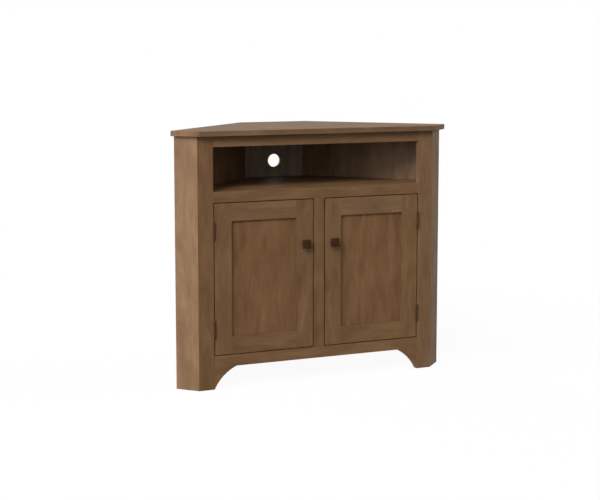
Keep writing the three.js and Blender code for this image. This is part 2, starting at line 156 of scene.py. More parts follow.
# %% What the camera sees
WHITE = (1, 1, 1, 1)


def seen_ray(tree):
    """A socket that is 1 for what the camera sees, straight, in a reflection or through glass, and else 0."""
    ray = add(tree, "ShaderNodeLightPath")
    mirrored = add(tree, "ShaderNodeMath", {0: ray.outputs["Is Camera Ray"], 1: ray.outputs["Is Glossy Ray"]})
    seen = add(tree, "ShaderNodeMath", {0: mirrored.outputs[0], 1: ray.outputs["Is Transmission Ray"]},
               use_clamp=True)
    return seen.outputs[0]


print("white of floor and world:", WHITE)

# %% [markdown]
# The floor is a wide plane whose colour reaches the camera mostly as plain white, with a share of ordinary matt
# white that still takes the cabinet's soft shadow. That share fades out with the distance, so the floor has no
# visible edge.
#
# The rail under the top's overhang is dark in the picture, so hardly any light comes up from the ground. In a
# studio grey cloth outside the frame does that. Here the floor is grey for the light that it throws back.

# %% Floor
FLOOR_HALF = 15.0
SHADOW_SHARE = 0.06
SHADOW_FADES_FROM, SHADOW_FADES_TO = 0.8, 2.4

corners = [(-FLOOR_HALF, -FLOOR_HALF, 0), (FLOOR_HALF, -FLOOR_HALF, 0), (FLOOR_HALF, FLOOR_HALF, 0),
           (-FLOOR_HALF, FLOOR_HALF, 0)]
floor_mesh = bpy.data.meshes.new("studio_floor")
floor_mesh.from_pydata(corners, [], [(0, 1, 2, 3)])
floor = bpy.data.objects.new("studio_floor", floor_mesh)
bpy.context.scene.collection.objects.link(floor)

floor_paint, tree = new_material("matt white studio floor")
place = add(tree, "ShaderNodeTexCoord")
reach = add(tree, "ShaderNodeVectorMath", {0: place.outputs["Object"]}, operation="LENGTH")
near = add(tree, "ShaderNodeMapRange", {"Value": reach.outputs["Value"], "From Min": SHADOW_FADES_FROM,
                                        "From Max": SHADOW_FADES_TO, "To Min": SHADOW_SHARE, "To Max": 0.0},
           interpolation_type="SMOOTHSTEP")
matt = add(tree, "ShaderNodeBsdfDiffuse", {"Color": linear("#f4f4f2")})
cloth = add(tree, "ShaderNodeBsdfDiffuse", {"Color": linear("#7c7c7a")})
white = add(tree, "ShaderNodeEmission", {"Color": WHITE, "Strength": 1.0})
shown = add(tree, "ShaderNodeMixShader", {0: near.outputs["Result"], 1: white.outputs[0], 2: matt.outputs[0]})
mixed = add(tree, "ShaderNodeMixShader", {0: seen_ray(tree), 1: cloth.outputs[0], 2: shown.outputs[0]})
add(tree, "ShaderNodeOutputMaterial", {"Surface": mixed.outputs[0]})
floor_mesh.materials.append(floor_paint)
print("floor, metres across:", 2 * FLOOR_HALF)

# %% [markdown]
# The world shows the same white. As a light it is only a trace, which keeps the deepest corners from going black.

# %% World
WORLD_LIGHT = 0.03

world = bpy.data.worlds.new("studio")
world.use_nodes = True
world.node_tree.nodes.clear()
bpy.context.scene.world = world
tree = world.node_tree
soft = add(tree, "ShaderNodeBackground", {"Color": WHITE, "Strength": WORLD_LIGHT})
plain = add(tree, "ShaderNodeBackground", {"Color": WHITE, "Strength": 1.0})
mixed = add(tree, "ShaderNodeMixShader", {0: seen_ray(tree), 1: soft.outputs[0], 2: plain.outputs[0]})
add(tree, "ShaderNodeOutputWorld", {"Surface": mixed.outputs[0]})
print("world as a light:", WORLD_LIGHT)

# %% [markdown]
# ## Lamps
#
# The left return is the brightest plane in the picture and the face comes next, and both look evenly lit from
# end to end, so the light is broad and far away. A softbox that is far enough away to be even would need huge
# powers, so each one is a Sun lamp here, whose angle is the width of the box as the cabinet sees it.
#
# A large low box far round on the left lights the return, and a smaller, higher key lights the face. Where the
# key stands can be read from the knobs' shadows, which fall close beside them to the lower right, and from the
# shadow under the top's overhang, which fades over some 45 mm, nearly twice the overhang. Two weak boxes stand in
# front: the high one lights the top and the bay's deck, and the low one reaches under the overhang.
# One on the right keeps the right return from going dark. One more stands behind, where the picture doesn't look,
# so that the back can be seen too. It is low and round to the left, because from straight behind, or from higher
# up, it would glare off the top.
#
# A sun of strength pi, straight in front of a plane, gives that plane its own colour. Each lamp's strength is
# written as a share of that, and its place by how many degrees it stands round to the right of the front, and
# how many up. Where a Sun's own mark lies makes no difference, so all of them hang above the cabinet.

# %% Lamps
LAMPS = {
    "key": {"turn": -44, "height": 32, "width": 18, "share": 0.61},
    "large_left": {"turn": -85, "height": 10, "width": 55, "share": 1.82},
    "front_high": {"turn": -30, "height": 50, "width": 30, "share": 0.19},
    "front_low": {"turn": -15, "height": 15, "width": 55, "share": 0.19},
    "right_side": {"turn": 80, "height": 10, "width": 55, "share": 0.53},
    "behind": {"turn": -150, "height": 6, "width": 55, "share": 0.5},
}
LAMP_MARK = (0, 0, 3)

for name, box in LAMPS.items():
    lamp = bpy.data.lights.new(name, "SUN")
    lamp.angle = math.radians(box["width"])
    lamp.energy = box["share"] * math.pi
    holder = bpy.data.objects.new(name, lamp)
    holder.rotation_euler = (math.radians(90 - box["height"]), 0, math.radians(box["turn"]))
    holder.location = LAMP_MARK
    bpy.context.scene.collection.objects.link(holder)
    print(name, "strength:", round(lamp.energy, 2))

# %% [markdown]
# ## Stained maple
#
# Brown maple is a close, smooth wood. A wiping stain leaves it a warm brown with low contrast: soft darker and
# lighter patches that stretch along the grain, faint growth rings, and fibres too fine to see from across a room.
# A satin lacquer over it gives a dull, even sheen.
#
# The pattern is a solid one, cut by the board's faces as a saw cuts a log. Each finished board carries its own
# coordinates in an attribute, "grain": metres along the grain, across the board and through it.
#
# Four more attributes tell the boards apart. "board" holds a number that makes each one a different piece of
# wood, and how many glued staves it has per metre of width. "stain" says how grey and how light its stain came
# out, and how far it leans to olive; on a few boards this is partly painted light, as the table of stains says.
# "edge" is 1 on the eased edges, where rubbing leaves the stain a little lighter. The last one is painted shade:
# it is high on the sides that face a door gap, lower on the inner sides of the door stiles beside the panels,
# and it darkens the wood there.
#
# Each pattern has a length along the grain and a width across it. Real fibres are under a tenth of a millimetre
# wide and wouldn't show, so they are drawn as coarse as they need to be.

# %% Sizes of the figure
FIGURE = {
    "warp": (260 * MM, 70 * MM),
    "patch": (150 * MM, 38 * MM),
    "fibre": (45 * MM, 0.9 * MM),
    "fleck": (5 * MM, 0.5 * MM),
}
for pattern, (length, width) in FIGURE.items():
    print(pattern, "in millimetres:", round(length / MM, 1), "by", round(width / MM, 1))

# %% [markdown]
# A wide board is glued side by side from staves, and each stave is a different piece of wood. This function finds
# a point's stave, its place from the stave's middle, and numbers that only that stave has, so that the figure
# stops at every glue line. A board in one piece has no staves per metre, and because a shader gives 0 when it
# divides by 0, the middle of the board is then its only middle.

# %% The stave at a point
GLUE_LINE_SHIFT = 7.3
STAVE_STEP = 0.137
NOISE_STEP = 37.0


def stave_at_point(tree):
    """Sockets for the point's place in its stave, the stave's own number, and three numbers drawn from it."""
    grain = add(tree, "ShaderNodeAttribute", attribute_name="grain")
    board = add(tree, "ShaderNodeAttribute", attribute_name="board")
    along, across, through = add(tree, "ShaderNodeSeparateXYZ", {0: grain.outputs["Vector"]}).outputs
    seed, staves, _ = add(tree, "ShaderNodeSeparateXYZ", {0: board.outputs["Vector"]}).outputs

    shift = add(tree, "ShaderNodeMath", {0: seed, 1: GLUE_LINE_SHIFT}, operation="MULTIPLY")
    count = add(tree, "ShaderNodeMath", {0: across, 1: staves, 2: shift.outputs[0]}, operation="MULTIPLY_ADD")
    stave = add(tree, "ShaderNodeMath", {0: count.outputs[0]}, operation="FLOOR")
    half_on = add(tree, "ShaderNodeMath", {0: stave.outputs[0], 1: 0.5}, operation="ADD")
    unshifted = add(tree, "ShaderNodeMath", {0: half_on.outputs[0], 1: shift.outputs[0]}, operation="SUBTRACT")
    middle = add(tree, "ShaderNodeMath", {0: unshifted.outputs[0], 1: staves}, operation="DIVIDE")
    sideways = add(tree, "ShaderNodeMath", {0: across, 1: middle.outputs[0]}, operation="SUBTRACT")
    place = add(tree, "ShaderNodeCombineXYZ", {0: along, 1: sideways.outputs[0], 2: through})

    own = add(tree, "ShaderNodeMath", {0: stave.outputs[0], 1: STAVE_STEP, 2: seed}, operation="MULTIPLY_ADD")
    number = add(tree, "ShaderNodeMath", {0: own.outputs[0], 1: NOISE_STEP}, operation="MULTIPLY")
    draw = add(tree, "ShaderNodeTexWhiteNoise", {"W": own.outputs[0]}, noise_dimensions="1D")
    drawn = add(tree, "ShaderNodeSeparateXYZ", {0: draw.outputs["Color"]})
    return place.outputs[0], number.outputs[0], drawn.outputs


print("from one stave to the next, in widths of the noise:", round(STAVE_STEP * NOISE_STEP, 2))

# %% [markdown]
# The rings are distances from a pith that lies behind the board and is not quite parallel to it, which draws the
# long arches of flat-sawn wood. Each stave draws its own pith: how far it lies to the side, how deep, and how
# it slants. Slow bends of the trunk move the rings a little.

# %% Growth rings
RING_WIDTH = 2.6 * MM
RING_ROUGHNESS = 0.6
RING_BEND = 14 * MM
PITH_SIDE = 35 * MM
PITH_NEAREST, PITH_DEEPEST = 35 * MM, 90 * MM
PITH_SLANT = 0.05


def growth_rings(tree, place, warped_place, number, drawn):
    """A socket for the rings' light and dark, and one for the pith's distance to the side."""
    bend = add(tree, "ShaderNodeTexNoise", {"Vector": warped_place, "W": number, "Scale": 1.0, "Detail": 2.0},
               noise_dimensions="4D")
    moved = add(tree, "ShaderNodeMapRange", {"Value": bend.outputs["Fac"], "To Min": -RING_BEND,
                                             "To Max": RING_BEND})
    side = add(tree, "ShaderNodeMapRange", {"Value": drawn[0], "To Min": -PITH_SIDE, "To Max": PITH_SIDE})
    depth = add(tree, "ShaderNodeMapRange", {"Value": drawn[1], "To Min": PITH_NEAREST, "To Max": PITH_DEEPEST})
    slant = add(tree, "ShaderNodeMapRange", {"Value": drawn[2], "To Min": -PITH_SLANT, "To Max": PITH_SLANT})

    along, sideways, through = add(tree, "ShaderNodeSeparateXYZ", {0: place}).outputs
    from_side = add(tree, "ShaderNodeMath", {0: sideways, 1: side.outputs[0]}, operation="SUBTRACT")
    from_depth = add(tree, "ShaderNodeMath", {0: through, 1: depth.outputs[0]}, operation="ADD")
    slanted = add(tree, "ShaderNodeMath", {0: along, 1: slant.outputs[0], 2: from_depth.outputs[0]},
                  operation="MULTIPLY_ADD")
    spoke = add(tree, "ShaderNodeCombineXYZ", {0: from_side.outputs[0], 1: slanted.outputs[0]})
    radius = add(tree, "ShaderNodeVectorMath", {0: spoke.outputs[0]}, operation="LENGTH")
    bent = add(tree, "ShaderNodeMath", {0: radius.outputs["Value"], 1: moved.outputs[0]}, operation="ADD")
    count = add(tree, "ShaderNodeMath", {0: bent.outputs[0], 1: 1 / RING_WIDTH, 2: number},
                operation="MULTIPLY_ADD")
    rings = add(tree, "ShaderNodeTexNoise", {"W": count.outputs[0], "Scale": 1.0, "Detail": 2.0,
                                             "Roughness": RING_ROUGHNESS}, noise_dimensions="1D")
    return rings.outputs["Fac"], side.outputs[0]


print("rings to a metre:", round(1 / RING_WIDTH))

# %% [markdown]
# The figure comes down to one tone, 0 where the wood is darkest and 1 where it is lightest. Each stave starts
# from a middle of its own, and patches, rings and fibres move the tone by their shares. Short flecks, where the
# pores took more stain, only darken it.

# %% Tone of the figure
STAVE_DARKEST, STAVE_LIGHTEST = 0.47, 0.53
PATCH_SHARE, RING_SHARE, FIBRE_SHARE, FLECK_SHARE = 1.0, 0.2, 0.16, 0.18
PATCH_ROUGHNESS, PATCH_DISTORTION = 0.55, 0.6
FLECK_STARTS, FLECK_FULL = 0.62, 0.75


def figure_tone(tree, at, rings, number, drawn):
    """Sockets for the tone, and for the fibres and flecks that it is made of."""
    patches = add(tree, "ShaderNodeTexNoise", {"Vector": at["patch"], "W": number, "Scale": 1.0, "Detail": 3.0,
                                               "Roughness": PATCH_ROUGHNESS, "Distortion": PATCH_DISTORTION},
                  noise_dimensions="4D")
    fibres = add(tree, "ShaderNodeTexNoise", {"Vector": at["fibre"], "W": number, "Scale": 1.0, "Detail": 3.0},
                 noise_dimensions="4D")
    specks = add(tree, "ShaderNodeTexNoise", {"Vector": at["fleck"], "Scale": 1.0, "Detail": 1.0})
    flecks = add(tree, "ShaderNodeMapRange", {"Value": specks.outputs["Fac"], "From Min": FLECK_STARTS,
                                              "From Max": FLECK_FULL})
    start = add(tree, "ShaderNodeMapRange", {"Value": drawn[2], "To Min": STAVE_DARKEST,
                                             "To Max": STAVE_LIGHTEST})
    tone = start.outputs[0]
    for part, share in ((patches.outputs["Fac"], PATCH_SHARE), (rings, RING_SHARE),
                        (fibres.outputs["Fac"], FIBRE_SHARE)):
        centred = add(tree, "ShaderNodeMath", {0: part, 1: 0.5}, operation="SUBTRACT")
        summed = add(tree, "ShaderNodeMath", {0: centred.outputs[0], 1: share, 2: tone}, operation="MULTIPLY_ADD")
        tone = summed.outputs[0]
    flecked = add(tree, "ShaderNodeMath", {0: flecks.outputs[0], 1: -FLECK_SHARE, 2: tone},
                  operation="MULTIPLY_ADD")
    return flecked.outputs[0], fibres.outputs["Fac"], flecks.outputs[0]


print("shares of patches, rings, fibres and flecks:", PATCH_SHARE, RING_SHARE, FIBRE_SHARE, FLECK_SHARE)

# %% [markdown]
# The tone picks its brown from three. The stain leans to red in some patches and to olive in others, and some
# boards are given a greyer or lighter stain, on a few of them as painted light. Painted shade makes a side that
# faces a door gap or a door panel darker and a little stronger in colour.

# %% Colour of the stain
DARK_AT, MIDDLE_AT, LIGHT_AT = 0.15, 0.5, 0.85
LEAN_STRETCH = (0.7, 0.7, 0.7)
LEAN_FROM, LEAN_TO = 0.3, 0.7
REDDEST_HUE, OLIVEST_HUE = 0.495, 0.505
# The next two set the painted shade on the sides that face a gap or a panel: how much stronger its colour gets,
# and how much darker it is.
SHADE_SATURATION = 0.3
SHADE_DARKENING = 0.65


def stain_colour(tree, tone, patch_place, number, dark, middle, light):
    """A socket for the stained wood's colour, with painted shade on the sides that face a gap or a panel."""
    ramp = add(tree, "ShaderNodeValToRGB", {"Fac": tone})
    ramp.color_ramp.elements[0].position = DARK_AT
    ramp.color_ramp.elements[0].color = linear(dark)
    ramp.color_ramp.elements[1].position = LIGHT_AT
    ramp.color_ramp.elements[1].color = linear(light)
    ramp.color_ramp.elements.new(MIDDLE_AT).color = linear(middle)

    stain = add(tree, "ShaderNodeAttribute", attribute_name="stain")
    painted_shade = add(tree, "ShaderNodeAttribute", attribute_name="painted_shade")
    greyness, lightness, olive = add(tree, "ShaderNodeSeparateXYZ", {0: stain.outputs["Vector"]}).outputs
    lean_place = add(tree, "ShaderNodeVectorMath", {0: patch_place, 1: LEAN_STRETCH}, operation="MULTIPLY")
    lean = add(tree, "ShaderNodeTexNoise", {"Vector": lean_place.outputs[0], "W": number, "Scale": 1.0,
                                            "Detail": 1.0}, noise_dimensions="4D")
    leaned = add(tree, "ShaderNodeMapRange", {"Value": lean.outputs["Fac"], "From Min": LEAN_FROM,
                                              "From Max": LEAN_TO, "To Min": REDDEST_HUE,
                                              "To Max": OLIVEST_HUE})
    hue = add(tree, "ShaderNodeMath", {0: leaned.outputs[0], 1: olive}, operation="ADD")
    plain = add(tree, "ShaderNodeMath", {0: 1.0, 1: greyness}, operation="SUBTRACT")
    # Painted shade: the colour gets a little stronger and darker on the sides that face a gap or a panel.
    strength = add(tree, "ShaderNodeMath", {0: painted_shade.outputs["Fac"], 1: SHADE_SATURATION, 2: plain.outputs[0]},
                   operation="MULTIPLY_ADD")
    shade_factor = add(tree, "ShaderNodeMath", {0: painted_shade.outputs["Fac"], 1: -SHADE_DARKENING, 2: 1.0},
                 operation="MULTIPLY_ADD")
    value = add(tree, "ShaderNodeMath", {0: lightness, 1: shade_factor.outputs[0]}, operation="MULTIPLY")
    stained = add(tree, "ShaderNodeHueSaturation", {"Hue": hue.outputs[0], "Saturation": strength.outputs[0],
                                                    "Value": value.outputs[0], "Color": ramp.outputs[0]})
    return stained.outputs[0]


# Lightness that the painted shade leaves on a side that faces a door gap.
print("lightness left on a sawn side:", round(1 - SHADE_DARKENING, 2))

# %% [markdown]
# Every finish in this lesson ends alike: a colour, a roughness that follows the pattern, and a fine relief. One
# function adds that end. Values that are the same all over go straight to the shader's own sockets.


# %% The end of a finish
def surface(tree, colour, tone, roughness, height, strength, depth, values):
    """The shader and output. The tone, 0 to 1, moves the roughness from its first value to its second."""
    dull = add(tree, "ShaderNodeMapRange", {"Value": tone, "To Min": roughness[0], "To Max": roughness[1]})
    bump = add(tree, "ShaderNodeBump", {"Height": height, "Strength": strength, "Distance": depth})
    shader = add(tree, "ShaderNodeBsdfPrincipled", {"Base Color": colour, "Roughness": dull.outputs[0],
                                                    "Normal": bump.outputs[0], **values})
    add(tree, "ShaderNodeOutputMaterial", {"Surface": shader.outputs[0]})


# %% [markdown]
# The material puts these together. On the eased edges the lacquer is thin and a little of the stain is gone. The
# lacquer itself is dull and even, a touch smoother where dense wood took less stain, and the fibres and flecks
# leave a fine relief in it. Its IOR is that of a clear varnish, with a low specular level for the satin.

# %% Stained maple under satin lacquer
RUB_SCALE = 3.0
RUB_FROM, RUB_TO = 0.35, 0.65
LEAST_RUBBED, MOST_RUBBED = 0.1, 0.45
FLECK_DEPTH = 0.5
RELIEF_STRENGTH, RELIEF_DEPTH = 0.35, 0.12 * MM
LACQUER_ROUGHNESS = (0.6, 0.5)
LACQUER = {"IOR": 1.5, "Specular IOR Level": 0.1}


def stained_maple(name, dark, middle, light, worn):
    """Maple with a wiping stain under satin lacquer, from its three tones and the tone of a rubbed edge."""
    material, tree = new_material(name)
    place, number, drawn = stave_at_point(tree)
    at = {}
    for pattern, (length, width) in FIGURE.items():
        counts = add(tree, "ShaderNodeVectorMath", {0: place, 1: (1 / length, 1 / width, 1 / width)},
                     operation="MULTIPLY")
        at[pattern] = counts.outputs[0]
    rings, pith_side = growth_rings(tree, place, at["warp"], number, drawn)
    tone, fibres, flecks = figure_tone(tree, at, rings, number, drawn)
    stained = stain_colour(tree, tone, at["patch"], pith_side, dark, middle, light)

    edge = add(tree, "ShaderNodeAttribute", attribute_name="edge")
    rub = add(tree, "ShaderNodeTexNoise", {"Vector": at["patch"], "Scale": RUB_SCALE, "Detail": 3.0})
    share = add(tree, "ShaderNodeMapRange", {"Value": rub.outputs["Fac"], "From Min": RUB_FROM,
                                             "From Max": RUB_TO, "To Min": LEAST_RUBBED,
                                             "To Max": MOST_RUBBED})
    rubbed = add(tree, "ShaderNodeMath", {0: edge.outputs["Fac"], 1: share.outputs[0]}, operation="MULTIPLY")
    colour = add(tree, "ShaderNodeMix", {0: rubbed.outputs[0], 6: stained, 7: linear(worn)}, data_type="RGBA")

    relief = add(tree, "ShaderNodeMath", {0: flecks, 1: -FLECK_DEPTH, 2: fibres}, operation="MULTIPLY_ADD")
    surface(tree, colour.outputs[2], tone, LACQUER_ROUGHNESS, relief.outputs[0], RELIEF_STRENGTH, RELIEF_DEPTH,
            LACQUER)
    return material


frame_maple = stained_maple("stained maple, satin lacquer", "#533a23", "#654b32", "#785c41", "#846443")
panel_maple = stained_maple("stained maple door panel, satin lacquer", "#533a24", "#664a31", "#775b40", "#826142")
print("maple finishes:", frame_maple.name, "/", panel_maple.name)

# %% [markdown]
# ## Finished boards
#
# On the real cabinet every board was planed, sanded and had its sharp edges taken off before the stain went on.
# A Bevel modifier on the model's own boards would do that, but the model's meshes stay as they are, so each
# board gets a finished copy that stands for it. The copy's loose triangles are joined, its flat faces become
# single faces, and its outer edges are eased. Edges of very shallow cuts, such as the hinge recesses, are left
# sharp, because a chamfer as wide as the cut is deep would break the mesh.

# %% Eased copies
EASE = 0.35 * MM
EASE_STEPS = 2
SHORTEST_EDGE, NARROWEST_FACE = 2.0, 1.1  # the least that is eased, in widths of the easing
SHALLOW = 1.4 * MM
WELD = 0.01 * MM
FLAT_ANGLE = math.radians(0.5)
SHARP_ANGLE = math.radians(35)
CURVE_ANGLE = math.radians(16)


def thinness(face):
    """A face's area over its longest edge, which is about the width of a narrow strip."""
    return face.calc_area() / max(e.calc_length() for e in face.edges)


def place_of(part):
    """The middle of a vertex, edge or face, rounded so that it can be sorted by."""
    corners = [corner.co for corner in getattr(part, "verts", (part,))]
    return (sum(corners, Vector()) / len(corners)).to_tuple(6)


def eased_copy(name, ease, sharp_angle, curve_angle, cuts=()):
    """A copy of a node's mesh with welded vertices, whole faces and eased outer edges, and its edge marks.

    Faces that meet at less than curve_angle are shaded as one curve, and all others as flat faces. The cuts are
    heights at which level lines are drawn round the copy. They leave its parts in an order that differs from run
    to run, so the parts are sorted by place.
    """
    shape = bmesh.new()
    shape.from_mesh(nodes[name].data)
    bmesh.ops.remove_doubles(shape, verts=shape.verts, dist=WELD)
    bmesh.ops.dissolve_limit(shape, angle_limit=FLAT_ANGLE, verts=shape.verts, edges=shape.edges)
    outer = [e for e in shape.edges if len(e.link_faces) == 2 and e.is_convex
             and e.calc_face_angle() > sharp_angle and e.calc_length() > SHORTEST_EDGE * ease
             and min(thinness(f) for f in e.link_faces) > NARROWEST_FACE * ease]
    if outer:
        bmesh.ops.bevel(shape, geom=outer, offset=ease, offset_type="OFFSET", segments=EASE_STEPS, profile=0.5,
                        affect="EDGES", clamp_overlap=True)
    for height in cuts:
        everything = shape.verts[:] + shape.edges[:] + shape.faces[:]
        bmesh.ops.bisect_plane(shape, geom=everything, plane_co=(0, 0, height), plane_no=(0, 0, 1))
    for parts in (shape.verts, shape.edges, shape.faces) if cuts else ():
        for rank, part in enumerate(sorted(parts, key=place_of)):
            part.index = rank
        parts.sort()
    for face in shape.faces:
        face.smooth = True
    for e in shape.edges:
        e.smooth = len(e.link_faces) == 2 and e.calc_face_angle() < curve_angle
    marks = [1.0 if all(thinness(f) < SHALLOW for f in v.link_faces) else 0.0 for v in shape.verts]
    mesh = bpy.data.meshes.new("finished_" + name)
    shape.to_mesh(mesh)
    shape.free()
    return mesh, marks


def put(name, mesh, material, body, slot, *replaced):
    """Links a finished mesh as a piece that rides on its body and stands for the nodes it replaces."""
    piece = bpy.data.objects.new(name, mesh)
    mesh.materials.append(material)
    bpy.context.scene.collection.objects.link(piece)
    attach(piece, body)
    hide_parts(*replaced)


print("easing in millimetres:", EASE / MM)

# %% [markdown]
# Painted shade darkens the sides that face a door gap, and a little less the inner sides of the door stiles,
# next to the panels. The outer stiles run on past the bay, where their sides get no painted shade. Two level
# lines round them, hidden behind the shelf rail, part the two.

# %% Sides with painted shade
RIGHT, BACK, UP = Vector((1, 0, 0)), Vector((0, 1, 0)), Vector((0, 0, 1))
# Painted shade beside the door panels, as a share of that at a door gap.
SHADE_BESIDE_PANEL = 0.4
BEHIND_RAIL = 12 * MM
FACES_THAT_WAY = 0.99

shaded_sides = {
    "centre_stile": [(RIGHT, 1), (-RIGHT, 1)], "arched_bottom_rail": [(UP, 1)], "shelf_rail": [(-UP, 1)],
}
rail_low, rail_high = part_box("shelf_rail")
behind_shelf_rail = (rail_low.z + BEHIND_RAIL, rail_high.z - BEHIND_RAIL)
for side, outwards in (("right", RIGHT), ("left", -RIGHT)):
    shaded_sides[side + "_stile"] = [(-outwards, 1)]
    shaded_sides[side + "_door_hinge_stile"] = [(outwards, 1), (UP, 1), (-UP, 1), (-outwards, SHADE_BESIDE_PANEL)]
    shaded_sides[side + "_door_lock_stile"] = [(-outwards, 1), (UP, 1), (-UP, 1), (outwards, SHADE_BESIDE_PANEL)]
    shaded_sides[side + "_door_top_rail"] = [(UP, 1)]
    shaded_sides[side + "_door_bottom_rail"] = [(-UP, 1)]


def painted_shade_marks(name, mesh, cuts):
    """How strongly each vertex of a board gets painted shade. Above the lower cut, none does."""
    painted_shade = [0.0] * len(mesh.vertices)
    for direction, share in shaded_sides.get(name, ()):
        for face in mesh.polygons:
            if face.normal.dot(direction) > FACES_THAT_WAY and (not cuts or face.center.z < cuts[0]):
                for corner in face.vertices:
                    painted_shade[corner] = share
    return painted_shade


print("boards with sawn sides:", len(shaded_sides))

# %% [markdown]
# A copy then gets the five attributes that the maple reads. The pattern's own axes are given for each board:
# which way the grain runs, and which way is across it.


# %% A finished board
def finish_board(name, along, across, stave_width, seed, stain, material, slot):
    """Replaces a board by its eased copy, which carries its grain coordinates."""
    cuts = behind_shelf_rail if name in ("left_stile", "right_stile") else ()
    mesh, marks = eased_copy(name, EASE, SHARP_ANGLE, CURVE_ANGLE, cuts)
    low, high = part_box(name)
    middle = (low + high) / 2
    axes = (along, across, along.cross(across))
    per_metre = 1 / stave_width if stave_width else 0.0
    vectors = {
        "grain": [(v.co - middle).dot(axis) for v in mesh.vertices for axis in axes],
        "board": [seed, per_metre, 0.0] * len(mesh.vertices),
        "stain": list(stain) * len(mesh.vertices),
    }
    for label, values in vectors.items():
        mesh.attributes.new(label, "FLOAT_VECTOR", "POINT").data.foreach_set("vector", values)
    # The second attribute here is painted shade on the sides that face a gap or a panel.
    for label, values in (("edge", marks), ("painted_shade", painted_shade_marks(name, mesh, cuts))):
        mesh.attributes.new(label, "FLOAT", "POINT").data.foreach_set("value", values)
    put("finished_" + name, mesh, material, nodes[name]["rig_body"], slot, name)


print("level lines round the outer stiles, metres up:", [round(height, 3) for height in behind_shelf_rail])

# %% [markdown]
# A few boards get a greyer, lighter or darker stain than the rest, above all the thin back. Part of this is
# painted light: the returns, the right stile and the two door top rails are lighter, most of them greyer too, as
# a painted sheen; the deck is lighter as painted light; the top is darker as painted shade; and the back, deep in
# the dim bay, is much lighter and greyer. The table gives greyness, lightness and lean to olive for these.

# %% The table of stains
PLAIN_STAIN = (0.0, 1.0, 0.0)
STAINS_AND_PAINTED_LIGHT = {
    "back_panel": (0.32, 1.4, 0.007), "right_side": (0.1, 0.97, 0.003), "component_shelf": (0.0, 1.2, 0.0),
    "top_panel": (0.05, 0.95, 0.0), "left_return": (0.07, 1.06, 0.0), "right_return": (0.02, 1.15, 0.004),
    "left_stile": (0.0, 0.97, -0.003), "right_stile": (0.06, 1.09, 0.0), "centre_stile": (0.0, 0.96, -0.002),
    "left_door_lock_stile": (0.0, 0.93, -0.002), "left_door_hinge_stile": (0.0, 0.96, -0.003),
    "left_door_bottom_rail": (0.0, 0.96, -0.002), "left_door_top_rail": (0.03, 1.05, 0.0),
    "right_door_top_rail": (0.06, 1.08, 0.0),
}
print("boards with a stain of their own:", len(STAINS_AND_PAINTED_LIGHT))

# %% [markdown]
# The stiles, returns, walls, door stiles and door panels stand with their grain upright, and the rails, shelves
# and top have it from side to side. Wide boards are glued from staves. The returns and walls stand at 45 degrees,
# so their axes are turned with them.

# %% The table of boards
STAVE = 78 * MM
TOP_STAVE = 1.2 * STAVE
WOOD_SEED = 11

boards = {
    "top_panel": (RIGHT, BACK, TOP_STAVE), "component_shelf": (RIGHT, BACK, STAVE),
    "bottom_panel": (RIGHT, BACK, STAVE), "adjustable_shelf": (RIGHT, BACK, STAVE),
    "back_panel": (UP, RIGHT, STAVE), "centre_stile": (UP, RIGHT, 0), "top_rail": (RIGHT, UP, 0),
    "shelf_rail": (RIGHT, UP, 0), "arched_bottom_rail": (RIGHT, UP, 0),
}
for side, sign in (("right", 1), ("left", -1)):
    back_along_wall = Vector((-sign, 1, 0)).normalized()
    boards[f"{side}_stile"] = (UP, RIGHT, 0)
    boards[f"{side}_return"] = (UP, Vector((sign, 1, 0)).normalized(), 0)
    boards[f"{side}_side"] = (UP, back_along_wall, STAVE)
    boards[f"{side}_top_cleat"] = (back_along_wall, UP, 0)
    boards[f"{side}_door_lock_stile"] = (UP, RIGHT, 0)
    boards[f"{side}_door_hinge_stile"] = (UP, RIGHT, 0)
    boards[f"{side}_door_top_rail"] = (RIGHT, UP, 0)
    boards[f"{side}_door_bottom_rail"] = (RIGHT, UP, 0)
    boards[f"{side}_door_panel"] = (UP, RIGHT, STAVE)

wood = random.Random(WOOD_SEED)
for name, (along, across, stave_width) in boards.items():
    is_panel = name.endswith("door_panel")
    finish_board(name, along, across, stave_width, wood.random(), STAINS_AND_PAINTED_LIGHT.get(name, PLAIN_STAIN),
                 panel_maple if is_panel else frame_maple, "door_panel_wood" if is_panel else "stained_wood")
print("boards finished:", len(boards))

# %% [markdown]
# ## Bronze, steel and plastic
#
# The knobs and hinges have an oil-rubbed finish: bronze that was darkened in a bath and rubbed back a little, so
# it is near black on its faces and warmer along its edges. The oil keeps its reflections dull, which a dark
# specular tint gives. Clouds a few millimetres wide make its colour and sheen uneven, as rubbing by hand does.

# %% Oil-rubbed bronze
BRONZE_CLOUD, BRONZE_GRIT = 7 * MM, 0.6 * MM
CLOUD_FROM, CLOUD_TO = 0.35, 0.7
BRONZE_ROUGHNESS = (0.38, 0.56)
GRIT_STRENGTH, GRIT_DEPTH = 0.2, 0.05 * MM


